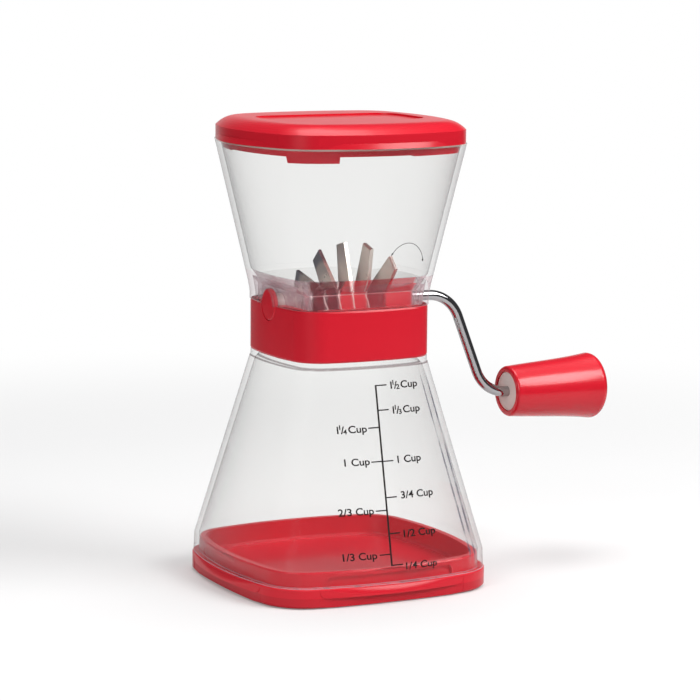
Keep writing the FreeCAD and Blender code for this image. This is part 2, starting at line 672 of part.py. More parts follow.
def axle_cap():
    """Red domed cap pressed on the rod's left end, turning in its seat."""
    seat = collar_plan().half - CAP_RECESS + END_PLAY
    face = seat + CAP_THICKNESS
    rim = CAP_RADIUS
    profile = [(-seat, 0), (-seat, rim), (-face + CAP_DOME, rim), (-face + CAP_DOME / 3, rim - 0.5),
               (-face + CAP_DOME / 6, rim / 2), (-face, 0)]
    body = turned(profile, AXIS_Z)
    return body.cut(axial(ROD_RADIUS + PRESS, rod_left_end() - PRESS, 0))


def rod_left_end():
    """Left end of the rod, inside the axle cap."""
    return -(collar_plan().half - CAP_RECESS + END_PLAY + CAP_THICKNESS - CAP_SKIN)


def crank_line():
    """Centre line of the bent rod: axis, leaning arm, grip stretch, with round bends."""
    lean = math.radians(CRANK_ARM_LEAN)
    low_x = CRANK_BEND_X + CRANK_THROW * math.tan(lean)
    low_z = AXIS_Z - CRANK_THROW
    turn = math.pi / 2 - lean
    trim = BEND_RADIUS * math.tan(turn / 2)
    arm = V(math.sin(lean), 0, -math.cos(lean))
    points = [V(rod_left_end(), 0, AXIS_Z), V(CRANK_BEND_X, 0, AXIS_Z), V(low_x, 0, low_z),
              V(GRIP_START_X + GRIP_ROD_DEPTH, 0, low_z)]
    edges = [Part.makeLine(points[0], points[1] - V(trim, 0, 0))]
    for corner, before, after in ((points[1], V(1, 0, 0), arm), (points[2], arm, V(1, 0, 0))):
        start, end = corner - before * trim, corner + after * trim
        to_centre = (after - before).normalize()
        middle = corner + to_centre * (BEND_RADIUS / math.cos(turn / 2) - BEND_RADIUS)
        if edges[-1].Vertexes[-1].Point.distanceToPoint(start) > 1e-6:
            edges.append(Part.makeLine(edges[-1].Vertexes[-1].Point, start))
        edges.append(Part.Arc(start, middle, end).toShape())
    edges.append(Part.makeLine(edges[-1].Vertexes[-1].Point, points[3]))
    return Part.Wire(edges)


def crank_rod():
    """One bent steel rod: axle through the rotor, crank arm and spindle of the grip."""
    line = crank_line()
    circle = Part.Wire(Part.makeCircle(ROD_RADIUS, V(rod_left_end(), 0, AXIS_Z), V(1, 0, 0)))
    body = line.makePipeShell([circle], True, True)
    start = -clip_start() - CLIP_THICKNESS
    end = clip_start()
    ring = axial(ROD_RADIUS + 1, start, end).cut(drive_bore(start - 1, end + 1, 0))
    body = body.cut(ring)
    groove = axial(ROD_RADIUS + 1, end, end + CLIP_THICKNESS)
    return body.cut(groove.cut(axial(GROOVE_RADIUS, end - 1, end + 2)))


# ==== grip ==================================================================================================
def grip_z():
    """Height of the grip's axis with the crank hanging down."""
    return AXIS_Z - CRANK_THROW


def grip():
    """Turned red grip: rounded rim, slight waist, flared far end with a round nose."""
    start, end = GRIP_START_X, GRIP_START_X + GRIP_LENGTH
    z = grip_z()
    bulge = 1 - math.sqrt(0.5)

    def at(along, radius):
        return V(start + along, 0, z + radius)

    nose_start = GRIP_LENGTH - GRIP_NOSE_ROUND
    rim_foot = at(0, GRIP_NECK_RADIUS - GRIP_RIM_ROUND)
    rim_top, belly = at(GRIP_RIM_ROUND, GRIP_NECK_RADIUS), at(nose_start, GRIP_BELLY_RADIUS)
    rim = Part.Arc(rim_foot, at(GRIP_RIM_ROUND * bulge, GRIP_NECK_RADIUS - GRIP_RIM_ROUND * bulge),
                   rim_top).toShape()
    flank = Part.BSplineCurve()
    flank.interpolate([rim_top, at(nose_start * 0.3, GRIP_WAIST_RADIUS),
                       at(nose_start * 0.73, GRIP_FLARE_RADIUS), belly])
    nose_end = at(GRIP_LENGTH, GRIP_BELLY_RADIUS - GRIP_NOSE_ROUND)
    nose = Part.Arc(belly, at(GRIP_LENGTH - GRIP_NOSE_ROUND * bulge,
                              GRIP_BELLY_RADIUS - GRIP_NOSE_ROUND * bulge), nose_end).toShape()
    outline = [Part.makeLine(V(start, 0, z), rim_foot), rim, flank.toShape(), nose,
               Part.makeLine(nose_end, V(end, 0, z)), Part.makeLine(V(end, 0, z), V(start, 0, z))]
    body = Part.Face(Part.Wire(outline)).revolve(V(0, 0, z), V(1, 0, 0), 360)
    body = body.cut(axial(DISC_RADIUS + PRESS, start - 1, grip_cavity_end(), z))
    return body.cut(axial(ROD_RADIUS + RUN, start, start + GRIP_ROD_DEPTH + 1, z))


def grip_cavity_end():
    """Far end of the grip's cavity for disc and retainer."""
    return GRIP_START_X + DISC_INSET + DISC_THICKNESS + RETAINER_THICKNESS + 4 * END_PLAY


def grip_end_disc():
    """Pale disc snapped into the grip's end, round the rod."""
    start = GRIP_START_X + DISC_INSET
    body = axial(DISC_RADIUS, start, start + DISC_THICKNESS, grip_z())
    body = body.makeChamfer(0.3, [body.Edges[0], body.Edges[2]])
    return body.cut(axial(ROD_RADIUS + RUN, start - 1, start + DISC_THICKNESS + 1, grip_z()))


def grip_retainer():
    """Toothed push ring on the rod that keeps the grip on."""
    start = GRIP_START_X + DISC_INSET + DISC_THICKNESS + 2 * END_PLAY
    body = axial(RETAINER_RADIUS, start, start + RETAINER_THICKNESS, grip_z())
    body = body.cut(axial(ROD_RADIUS + PRESS, start - 1, start + 3, grip_z()))
    half = RETAINER_SLIT / 2
    for turn in range(RETAINER_TEETH):
        slit = box((start - 1, ROD_RADIUS - half, grip_z() - half),
                   (start + 3, ROD_RADIUS + RETAINER_SLIT_DEPTH, grip_z() + half))
        slit.rotate(V(0, 0, grip_z()), V(1, 0, 0), 360 / RETAINER_TEETH * turn)
        body = body.cut(slit)
    return body


# ==== assembly ==============================================================================================
def parts():
    """Every sub-part by its node's name."""
    left, right = stack_ends()
    model = {
        "base_cap": base_cap(), "foot_pad": foot_pad(), "container": container(),
        "collar": collar(), "rotor_housing": rotor_housing(),
        "coarse_comb": comb(COARSE_GAP, 1), "fine_comb": comb(FINE_GAP, -1),
        "left_bush": bush(-1), "right_bush": bush(1),
        "hopper": hopper(), "hopper_lid": hopper_lid(),
        "crank_rod": crank_rod(), "axle_cap": axle_cap(), "retaining_clip": retaining_clip(),
        "left_washer": washer(-1), "right_washer": washer(1),
        "end_sleeve": spacer(-clip_start() - CLIP_THICKNESS, left),
        "grip": grip(), "grip_end_disc": grip_end_disc(), "grip_retainer": grip_retainer(),
    }
    for index in range(TINE_COUNT):
        model["tine_%d" % (index + 1)] = tine(index)
    for index in range(TINE_COUNT - 1):
        model["tine_spacer_%d" % (index + 1)] = spacer(tine_x(index) + TINE_THICKNESS / 2,
                                                       tine_x(index + 1) - TINE_THICKNESS / 2)
    return model


def main():
    os.makedirs("parts", exist_ok=True)
    for name, shape in parts().items():
        if len(shape.Solids) == 1:
            shape = shape.Solids[0]
        print("%-16s solids %d valid %s volume %9.1f" % (name, len(shape.Solids), shape.isValid(),
                                                         shape.Volume))
        shape.exportStep(os.path.join("parts", name + ".step"))


main()
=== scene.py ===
"""Hand-cranked food chopper: finishes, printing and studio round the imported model."""
import logging
import math
from dataclasses import dataclass, field
from enum import Enum
from typing import Any, Optional, Union

import bpy
from mathutils import Matrix, Vector


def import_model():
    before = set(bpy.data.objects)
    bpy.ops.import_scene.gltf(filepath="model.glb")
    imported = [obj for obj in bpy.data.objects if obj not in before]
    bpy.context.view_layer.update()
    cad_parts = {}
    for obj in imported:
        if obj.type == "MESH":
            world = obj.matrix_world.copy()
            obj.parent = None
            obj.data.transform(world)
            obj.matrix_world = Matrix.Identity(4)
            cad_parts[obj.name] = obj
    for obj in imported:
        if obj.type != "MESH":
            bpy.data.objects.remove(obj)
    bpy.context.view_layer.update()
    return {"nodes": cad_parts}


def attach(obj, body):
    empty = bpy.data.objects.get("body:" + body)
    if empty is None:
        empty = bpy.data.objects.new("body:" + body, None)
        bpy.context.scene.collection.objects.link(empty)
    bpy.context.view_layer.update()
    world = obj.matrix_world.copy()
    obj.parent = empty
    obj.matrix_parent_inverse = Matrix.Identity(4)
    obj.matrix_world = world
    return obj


LOG = logging.getLogger("chopper")
MM = 0.001
Colour = tuple[float, float, float]
Direction = tuple[float, float, float]
Span = tuple[float, float]
WHITE: Colour = (1.0, 1.0, 1.0)
RIGHT: Direction = (1.0, 0.0, 0.0)
BACK: Direction = (0.0, 1.0, 0.0)
FRONT: Direction = (0.0, -1.0, 0.0)
UP: Direction = (0.0, 0.0, 1.0)
NOISE_MIDDLE = 0.5
ON_WALL = (math.pi / 2, 0.0, 0.0)  # turns a flat piece upright, to face -Y


# ---- shader graphs -------------------------------------------------------------------------
class Value:
    """A shader socket that adds Math nodes when it takes part in arithmetic."""

    def __init__(self, graph: "Graph", socket: bpy.types.NodeSocket) -> None:
        """Keep the socket and the graph that it belongs to."""
        self.graph = graph
        self.socket = socket

    def _math(self, operation: str, *terms: "Operand") -> "Value":
        """Add one Math node.

        Args:
            operation: the Math node's operation.
            terms: its inputs in order.

        Returns:
            The node's result.
        """
        return self.graph.add("ShaderNodeMath", {"operation": operation}, dict(enumerate(terms)))

    def __add__(self, other: "Operand") -> "Value":
        """Sum."""
        return self._math("ADD", self, other)

    __radd__ = __add__

    def __sub__(self, other: "Operand") -> "Value":
        """Difference."""
        return self._math("SUBTRACT", self, other)

    def __rsub__(self, other: "Operand") -> "Value":
        """Difference, from a number."""
        return self._math("SUBTRACT", other, self)

    def __mul__(self, other: "Operand") -> "Value":
        """Product."""
        return self._math("MULTIPLY", self, other)

    __rmul__ = __mul__

    def __truediv__(self, other: "Operand") -> "Value":
        """Quotient."""
        return self._math("DIVIDE", self, other)

    def power(self, exponent: float) -> "Value":
        """Power."""
        return self._math("POWER", self, exponent)

    def size(self) -> "Value":
        """Value without its sign."""
        return self._math("ABSOLUTE", self)

    def cosine_of_turns(self) -> "Value":
        """Cosine of a number of whole turns, 1 at each whole number."""
        return self._math("COSINE", self * math.tau)

    def swing(self, width: float) -> "Value":
        """Swing of a noise about 0, as wide as given from its least to its most."""
        return (self - NOISE_MIDDLE) * width

    def or_less(self, other: "Operand") -> "Value":
        """Smaller of the two."""
        return self._math("MINIMUM", self, other)

    def or_more(self, other: "Operand") -> "Value":
        """Larger of the two."""
        return self._math("MAXIMUM", self, other)

    def between(self, low: float, high: float) -> "Value":
        """Smooth rise from 0 at low to 1 at high.

        Args:
            low: value that gives 0.
            high: value that gives 1.

        Returns:
            The mask.
        """
        limits = {0: self, 1: low, 2: high, 3: 0.0, 4: 1.0}
        settings = {"interpolation_type": "SMOOTHSTEP"}
        return self.graph.add("ShaderNodeMapRange", settings, limits)

    def between_mm(self, low: float, high: float) -> "Value":
        """Smooth rise from 0 to 1 of a length, with its limits in millimetres."""
        return self.between(low * MM, high * MM)

    def past_mm(self, place: float, blur: float) -> "Value":
        """Smooth rise from 0 to 1 where a length passes a place, both in millimetres."""
        return self.between_mm(place - blur, place + blur)


Operand = Union[Value, float]


class Graph:
    """Node tree of a material or world, built through one method."""

    def __init__(self, tree: bpy.types.NodeTree) -> None:
        """Start from an empty tree."""
        self.tree = tree
        self.tree.nodes.clear()

    def add(self, kind: str, settings: Optional[dict[str, Any]] = None,
            inputs: Optional[dict[Any, Any]] = None, output: Any = 0) -> Value:
        """Add any node.

        Args:
            kind: the node's type.
            settings: its properties.
            inputs: values or links by socket name or index.
            output: name or index of the result.

        Returns:
            The chosen output.
        """
        node = self.tree.nodes.new(kind)
        for key, setting in (settings or {}).items():
            setattr(node, key, setting)
        for key, term in (inputs or {}).items():
            if isinstance(term, Value):
                self.tree.links.new(term.socket, node.inputs[key])
            elif isinstance(term, tuple) and len(term) == 3 and node.inputs[key].type == "RGBA":
                node.inputs[key].default_value = (*term, 1.0)
            else:
                node.inputs[key].default_value = term
        return Value(self, node.outputs[output])

    def place(self) -> Value:
        """Position on the object, in metres."""
        return self.add("ShaderNodeTexCoord", output="Object")

    def along(self, direction: Direction, place: Optional[Value] = None) -> Value:
        """Share of a vector along a direction.

        Args:
            direction: unit vector.
            place: the vector, by default the position on the object.

        Returns:
            The dot product.
        """
        vector = self.place() if place is None else place
        return self.add("ShaderNodeVectorMath", {"operation": "DOT_PRODUCT"},
                        {0: vector, 1: direction}, output="Value")

    def noise(self, size_mm: float, detail: float = 2.0,
              stretch: Direction = (1.0, 1.0, 1.0)) -> Value:
        """Noise with features of a given size.

        Args:
            size_mm: feature size in millimetres.
            detail: octaves.
            stretch: scale along X, Y and Z, below 1 for longer features.

        Returns:
            The noise value, about 0.5.
        """
        mapping = self.add("ShaderNodeMapping", None, {"Vector": self.place(), "Scale": stretch})
        inputs = {"Vector": mapping, "Scale": 1.0 / (size_mm * MM), "Detail": detail}
        return self.add("ShaderNodeTexNoise", None, inputs)

    def blend(self, share: Operand, first: Any, second: Any) -> Value:
        """Mix two colours.

        Args:
            share: 0 for the first, 1 for the second.
            first: colour or link.
            second: colour or link.

        Returns:
            The mixed colour.
        """
        settings = {"data_type": "RGBA", "clamp_factor": True}
        return self.add("ShaderNodeMix", settings, {0: share, 6: first, 7: second}, output=2)

    def bump(self, height: Value, depth_mm: float) -> Value:
        """Bump of a given depth.

        Args:
            height: height from 0 to 1.
            depth_mm: depth in millimetres at height 1.

        Returns:
            The normal.
        """
        inputs = {"Strength": 1.0, "Distance": depth_mm * MM, "Height": height}
        return self.add("ShaderNodeBump", None, inputs)

    def surface(self, **inputs: Any) -> Value:
        """Principled surface; underscores in the names stand for spaces."""
        named = {key.replace("_", " "): term for key, term in inputs.items()}
        return self.add("ShaderNodeBsdfPrincipled", None, named)

    def mix(self, share: Operand, first: Value, second: Value) -> Value:
        """Mix two shaders.

        Args:
            share: 0 for the first, 1 for the second.
            first: shader.
            second: shader.

        Returns:
            The mixed shader.
        """
        return self.add("ShaderNodeMixShader", None, {0: share, 1: first, 2: second})

    def close(self, shader: Value, kind: str = "ShaderNodeOutputMaterial") -> None:
        """Join the shader to a new output node."""
        node = self.tree.nodes.new(kind)
        self.tree.links.new(shader.socket, node.inputs["Surface"])


def new_graph(name: str) -> tuple[bpy.types.Material, Graph]:
    """Make a material with an empty graph.

    Args:
        name: the material's name.

    Returns:
        The material and its graph.
    """
    material = bpy.data.materials.new(name)
    material.use_nodes = True
    return material, Graph(material.node_tree)


# ---- finishes ------------------------------------------------------------------------------
def scaled(colour: Colour, share: float) -> Colour:
    """Colour with every channel times a share."""
    return tuple(channel * share for channel in colour)


@dataclass(frozen=True)
class FingerLips:
    """Hollow wall under the finger lips of the base's rim, as a bump, and painted shade on the band
    below it.
    """

    low_mm: float = 3.9
    half_mm: float = 30.0
    rise_mm: float = 3.4
    depth_mm: float = 1.3
    wall_mm: Span = (46.5, 47.0)
    end: Span = (0.98, 1.02)
    # painted shade below the lips: its blur, its share and how far it darkens the deep colour
    painted_shade_blur_mm: float = 0.3
    painted_shade_share: float = 0.35
    darkening: float = 0.6

    def hollow(self, graph: Graph) -> Value:
        """Rise from 0 at the lips' lower edge to 1 at their top.

        Args:
            graph: the finish's graph.

        Returns:
            The rise.
        """
        across, deep = graph.along(RIGHT).size(), graph.along(BACK).size()
        place = across.or_less(deep) / (self.half_mm * MM)
        lower = place * place * self.rise_mm * MM + self.low_mm * MM
        outside = across.or_more(deep).between_mm(*self.wall_mm) * (1.0 - place.between(*self.end))
        rise = (graph.along(UP) - lower) / (self.rise_mm * MM)
        return rise.or_more(0.0).or_less(1.0) * outside

    def shade(self, graph: Graph) -> Value:
        """Share of the painted shade, on all that lies below the lips.

        Args:
            graph: the finish's graph.

        Returns:
            The share.
        """
        above = graph.along(UP).between_mm(self.low_mm, self.low_mm + self.painted_shade_blur_mm)
        return (1.0 - above) * self.painted_shade_share


@dataclass(frozen=True)
class GlossyMoulding:
    """Glossy moulded plastic with the slight waviness of a mould's skin."""

    name: str
    colour: Colour
    deep: Colour
    roughness: float = 0.30
    ior: float = 1.35
    coat: float = 0.08
    coat_roughness: float = 0.06
    cloud_mm: float = 38.0
    cloud_span: Span = (0.35, 0.7)
    cloud_share: float = 0.35
    cloud_roughness: float = 0.1
    wave_mm: float = 9.0
    wave_depth_mm: float = 0.012
    grain_mm: float = 0.9
    grain_depth_mm: float = 0.0
    grain_roughness: float = 0.03
    lips: Optional[FingerLips] = None

    def make(self) -> bpy.types.Material:
        """Build the material.

        Returns:
            The material.
        """
        material, graph = new_graph(self.name)
        cloud = graph.noise(self.cloud_mm)
        grain = graph.noise(self.grain_mm, detail=3.0)
        cloudy = cloud.between(*self.cloud_span) * self.cloud_share
        colour = graph.blend(cloudy, self.colour, self.deep)
        rough = self.roughness + grain.swing(self.grain_roughness)
        rough = rough + cloud.swing(self.cloud_roughness)
        relief = graph.noise(self.wave_mm) * self.wave_depth_mm + grain * self.grain_depth_mm
        if self.lips:
            hollow = self.lips.hollow(graph)
            relief = relief - hollow * hollow * self.lips.depth_mm
            # painted shade on the wall below the base's finger lips
            dark = scaled(self.deep, self.lips.darkening)
            colour = graph.blend(self.lips.shade(graph), colour, dark)
        graph.close(graph.surface(Base_Color=colour, Roughness=rough, Normal=graph.bump(relief, 1.0),
                                  IOR=self.ior, Coat_Weight=self.coat,
                                  Coat_Roughness=self.coat_roughness))
        return material


@dataclass(frozen=True)
class Band:
    """Level zone of a clear wall that shows more of itself, such as an edge or a double wall; the
    container's and hopper's zones use it for painted shade, a painted highlight and a painted tint.
    """

    low_mm: float
    high_mm: float
    blur_mm: float
    share: float
    colour: Colour
    painted_tint_share: float = 0.0

    def mask(self, graph: Graph) -> Value:
        """1 inside the zone.

        Args:
            graph: the finish's graph.

        Returns:
            The mask.
        """
        height = graph.along(UP)
        above = height.past_mm(self.high_mm, self.blur_mm)
        return height.past_mm(self.low_mm, self.blur_mm) * (1.0 - above)

    def tone(self, graph: Graph) -> Any:
        """Colour of the zone."""
        return self.colour


@dataclass(frozen=True)
class PaintedStreaks:
    """Painted reflections: thin leaning streaks of the tines' edges in the hopper's funnel."""

    colour: Colour = (0.95, 0.78, 0.74)
    first_mm: float = -12.3
    pitch_mm: float = 5.7
    lean: float = 0.28
    bend_size_mm: float = 5.0
    bend_mm: float = 1.5
    middle_mm: float = -8.0
    reach_mm: Span = (9.0, 11.0)
    edge: Span = (0.93, 0.985)
    share: float = 0.85

    def mask(self, graph: Graph, foot_mm: float) -> Value:
        """Share of the streaks' colour.

        Args:
            graph: the finish's graph.
            foot_mm: height at which the streaks stand at their own places.

        Returns:
            The share.
        """
        across, height = graph.along(RIGHT), graph.along(UP)
        bend = graph.noise(self.bend_size_mm).swing(self.bend_mm) * MM
        run = across + (height - foot_mm * MM) * self.lean + bend - self.first_mm * MM
        turn = (run / (self.pitch_mm * MM)).cosine_of_turns()
        near = 1.0 - (across - self.middle_mm * MM).size().between_mm(*self.reach_mm)
        return turn.between(*self.edge) * near * self.share


@dataclass(frozen=True)
class Funnel:
    """Inner wall of the hopper, whose thick root carries the red of the housing up to the front;
    this red, its shaded fields, streaks and glints are painted reflection.
    """

    root_mm: float = 118.2
    root_blur_mm: float = 0.15
    knee_mm: float = 112.5
    half_mm: float = 25.0
    slope: float = 0.80
    wall_blur_mm: float = 0.2
    share: float = 0.62
    side_share: float = 0.36
    side_turn_mm: Span = (-2.0, 0.5)
    end_mm: Span = (18.0, 19.5)
    # painted reflection of the housing: its lit red and its shaded parts
    bright: Colour = (0.80, 0.018, 0.036)
    dark: Colour = (0.15, 0.008, 0.016)
    left_dark_to_mm: Span = (-12.0, -11.0)
    right_dark_from_mm: Span = (-1.0, 0.0)
    right_dark_to_mm: Span = (7.0, 8.0)
    right_dark_share: float = 0.7
    ragged_size_mm: float = 3.0
    ragged_mm: float = 1.6
    streaks: PaintedStreaks = PaintedStreaks()
    # painted reflection at the rotor's ends: pale pink walls with painted glints
    side: Colour = (0.52, 0.34, 0.36)
    painted_glint: Colour = (0.95, 0.86, 0.76)
    glint_mm: float = 2.4
    glint_stretch: Direction = (1.0, 1.0, 0.6)
    glint_span: Span = (0.55, 0.66)
    painted_glint_share: float = 0.7
    # painted highlight along the knee
    edge: Colour = (0.80, 0.52, 0.52)
    knee_highlight_mm: Span = (0.1, 0.25)
    edge_share: float = 0.7
    painted_tint_share: float = 0.0

    def mask(self, graph: Graph) -> Value:
        """1 on the funnel's upright wall and on the slope over it, less at the rotor's two ends.

        Args:
            graph: the finish's graph.

        Returns:
            The mask.
        """
        height = graph.along(UP)
        out = graph.along(RIGHT).size().or_more(graph.along(BACK).size())
        limit = (height - self.knee_mm * MM).or_more(0.0) * self.slope + self.half_mm * MM
        inside = (limit - out).between_mm(0.0, self.wall_blur_mm)
        above = height.past_mm(self.root_mm, self.root_blur_mm)
        less = 1.0 - self.side_share / self.share
        return inside * (1.0 - above) * (1.0 - self.to_side(graph) * less)

    def to_side(self, graph: Graph) -> Value:
        """1 on the walls at the two ends of the rotor, 0 on those in front and behind.

        Args:
            graph: the finish's graph.

        Returns:
            The mask.
        """
        across, deep = graph.along(RIGHT), graph.along(BACK).size()
        end = across.between_mm(*self.end_mm)
        return (across.size() - deep).between_mm(*self.side_turn_mm).or_more(end)

    def painted_front_and_back(self, graph: Graph) -> Value:
        """Painted reflection of the housing: red and shaded fields with the streaks over them.

        Args:
            graph: the finish's graph.

        Returns:
            The colour.
        """
        ragged = graph.along(RIGHT) + graph.noise(self.ragged_size_mm).swing(self.ragged_mm) * MM
        left = 1.0 - ragged.between_mm(*self.left_dark_to_mm)
        past_right = ragged.between_mm(*self.right_dark_to_mm)
        right = ragged.between_mm(*self.right_dark_from_mm) * (1.0 - past_right)
        fields = graph.blend(left.or_more(right * self.right_dark_share), self.bright, self.dark)
        return graph.blend(self.streaks.mask(graph, self.knee_mm), fields, self.streaks.colour)

    def painted_sides(self, graph: Graph) -> Value:
        """Pale walls with painted glints, a painted reflection at the rotor's ends.

        Args:
            graph: the finish's graph.

        Returns:
            The colour.
        """
        glints = graph.noise(self.glint_mm, stretch=self.glint_stretch).between(*self.glint_span)
        return graph.blend(glints * self.painted_glint_share, self.side, self.painted_glint)

    def tone(self, graph: Graph) -> Value:
        """Colour of the zone, with a painted highlight along the knee.

        Args:
            graph: the finish's graph.

        Returns:
            The colour.
        """
        knee = 1.0 - (graph.along(UP) - self.knee_mm * MM).size().between_mm(*self.knee_highlight_mm)
        walls = graph.blend(self.to_side(graph), self.painted_front_and_back(graph), self.painted_sides(graph))
        return graph.blend(knee * self.edge_share, walls, self.edge)


@dataclass(frozen=True)
class Corner:
    """Painted dark reflection: thin line beside two opposite upright corners, where the wall's bend
    gathers a dark streak.
    """

    low_mm: float
    high_mm: float
    fade_mm: float = 8.0
    ratio: float = 0.83
    half_width: float = 0.024
    core: float = 0.4
    break_mm: float = 14.0
    break_stretch: Direction = (0.2, 0.2, 1.0)
    break_span: Span = (0.38, 0.55)
    faintest: float = 0.25
    share: float = 0.72
    colour: Colour = (0.055, 0.050, 0.100)
    painted_tint_share: float = 0.0

    def mask(self, graph: Graph) -> Value:
        """1 on the line, with soft breaks along it.

        Args:
            graph: the finish's graph.

        Returns:
            The mask.
        """
        height = graph.along(UP)
        aside = (graph.along(RIGHT) / graph.along(FRONT) - self.ratio).size()
        line = 1.0 - aside.between(self.half_width * self.core, self.half_width)
        starts = height.between_mm(self.low_mm, self.low_mm + self.fade_mm)
        ends = height.between_mm(self.high_mm - self.fade_mm, self.high_mm)
        breaks = graph.noise(self.break_mm, stretch=self.break_stretch).between(*self.break_span)
        return line * (starts * (1.0 - ends)) * (breaks * (1.0 - self.faintest) + self.faintest)

    def tone(self, graph: Graph) -> Any:
        """Colour of the line."""
        return self.colour


Zone = Union[Band, Funnel, Corner]


@dataclass(frozen=True)
class ClearMoulding:
    """Thin clear wall: sheer from the front, glossy and greyer where it turns away, with a painted
    dark rim where it is seen edge on.
    """

    name: str
    tint: Colour
    painted_tint: Colour
    zones: tuple[Zone, ...]
    veil: Colour = (0.35, 0.35, 0.36)
    least_share: float = 0.028
    edge_power: float = 5.0
    edge_share: float = 0.9
    flank_power: float = 2.0
    flank_share: float = 0.04
    roughness: float = 0.03
    haze_mm: float = 25.0
    haze_roughness: float = 0.02
    ripple_mm: float = 14.0
    ripple_depth_mm: float = 0.008
    ior: float = 1.48
    # painted dark rim where the wall is seen edge on
    rim: Colour = (0.17, 0.17, 0.19)
    rim_roughness: float = 0.6
    painted_rim_span: Span = (0.92, 1.0)
    painted_rim_share: float = 0.8
    outward_mm: float = 4.0

    def make(self) -> bpy.types.Material:
        """Build the material.

        Returns:
            The material.
        """
        material, graph = new_graph(self.name)
        ripple = graph.bump(graph.noise(self.ripple_mm), self.ripple_depth_mm)
        facing = graph.add("ShaderNodeLayerWeight", None, {"Normal": ripple}, output="Facing")
        share, veil, painted_tint_share = self.gloss_share(facing), self.veil, 0.0
        outward = self.outward(graph)
        for zone in self.zones:
            mask = zone.mask(graph) * outward
            share = share + mask * zone.share
            veil = graph.blend(mask, veil, zone.tone(graph))
            painted_tint_share = painted_tint_share + mask * zone.painted_tint_share
        rough = self.roughness + graph.noise(self.haze_mm) * self.haze_roughness
        gloss = graph.surface(Base_Color=veil, Roughness=rough, Normal=ripple, IOR=self.ior)
        # deep: the painted tint of what is seen through, where a zone carries it
        sheer = graph.add("ShaderNodeBsdfTransparent", None, {"Color": self.tint})
        deep = graph.add("ShaderNodeBsdfTransparent", None, {"Color": self.painted_tint})
        wall = graph.mix(share, graph.mix(painted_tint_share, sheer, deep), gloss)
        # painted dark rim where the wall is seen edge on
        rim = graph.surface(Base_Color=self.rim, Roughness=self.rim_roughness, IOR=1.0)
        turned = graph.mix(facing.between(*self.painted_rim_span) * self.painted_rim_share, wall, rim)
        shadow = graph.add("ShaderNodeLightPath", output="Is Shadow Ray")
        graph.close(graph.mix(shadow, turned, sheer))
        return material

    def gloss_share(self, facing: Value) -> Value:
        """Share of the wall that shows itself, more where it turns away.

        Args:
            facing: 0 where the wall is seen straight on, 1 where it is seen edge on.

        Returns:
            The share.
        """
        edge = facing.power(self.edge_power) * self.edge_share
        return edge + self.least_share + facing.power(self.flank_power) * self.flank_share

    def outward(self, graph: Graph) -> Value:
        """1 on faces that look away from the shell's middle, 0 on those that look in.

        Args:
            graph: the finish's graph.

        Returns:
            The mask.
        """
        normal = graph.add("ShaderNodeNewGeometry", output="Normal")
        lean = graph.along(RIGHT) * graph.along(RIGHT, normal) \
            + graph.along(BACK) * graph.along(BACK, normal)
        return lean.between_mm(0.0, self.outward_mm)


@dataclass(frozen=True)
class BlueGreyTips:
    """Blue-grey patches near the ends of the tines."""

    colour: Colour = (0.22, 0.24, 0.31)
    from_mm: float = -10.5
    to_mm: float = 0.0
    blur_mm: float = 0.5
    axis_mm: float = 107.0
    tip_mm: float = 18.0
    fade_mm: float = 3.0
    patch_mm: float = 7.0
    ragged_mm: float = 7.0
    share: float = 0.8

    def mask(self, graph: Graph) -> Value:
        """Share of the blue-grey, past a ragged distance from the rotor's axis.

        Args:
            graph: the finish's graph.

        Returns:
            The share.
        """
        deep, rise = graph.along(BACK), graph.along(UP) - self.axis_mm * MM
        reach = (deep * deep + rise * rise).power(0.5)
        across = graph.along(RIGHT)
        starts = across.between_mm(self.from_mm - self.blur_mm, self.from_mm)
        ends = across.between_mm(self.to_mm - self.blur_mm, self.to_mm)
        away = reach + graph.noise(self.patch_mm, detail=0.0).swing(self.ragged_mm) * MM
        near_end = away.between_mm(self.tip_mm - self.fade_mm, self.tip_mm)
        return near_end * (starts * (1.0 - ends)) * self.share


@dataclass(frozen=True)
class BrightSteel:
    """Bright steel, polished or rolled."""

    name: str
    colour: Colour
    roughness: float
    grain_mm: float
    grain_depth_mm: float
    grain_run: Direction = (1.0, 1.0, 1.0)
    metallic: float = 1.0
    grain_roughness: float = 0.12
    smear_mm: float = 6.0
    smear_span: Span = (0.4, 0.75)
    smear_share: float = 0.5
    smear_roughness: float = 0.05
    darkening: float = 0.86
    blue_grey_tips: Optional[BlueGreyTips] = None

    def make(self) -> bpy.types.Material:
        """Build the material.

        Returns:
            The material.
        """
        material, graph = new_graph(self.name)
        grain = graph.noise(self.grain_mm, detail=3.0, stretch=self.grain_run)
        smear = graph.noise(self.smear_mm)
        smeared = smear.between(*self.smear_span) * self.smear_share
        colour = graph.blend(smeared, self.colour, scaled(self.colour, self.darkening))
        if self.blue_grey_tips:
            colour = graph.blend(self.blue_grey_tips.mask(graph), colour, self.blue_grey_tips.colour)
        rough = self.roughness + grain.swing(self.grain_roughness)
        rough = rough + smear.swing(self.smear_roughness)
        graph.close(graph.surface(Base_Color=colour, Metallic=self.metallic, Roughness=rough,
                                  Normal=graph.bump(grain, self.grain_depth_mm)))
        return material


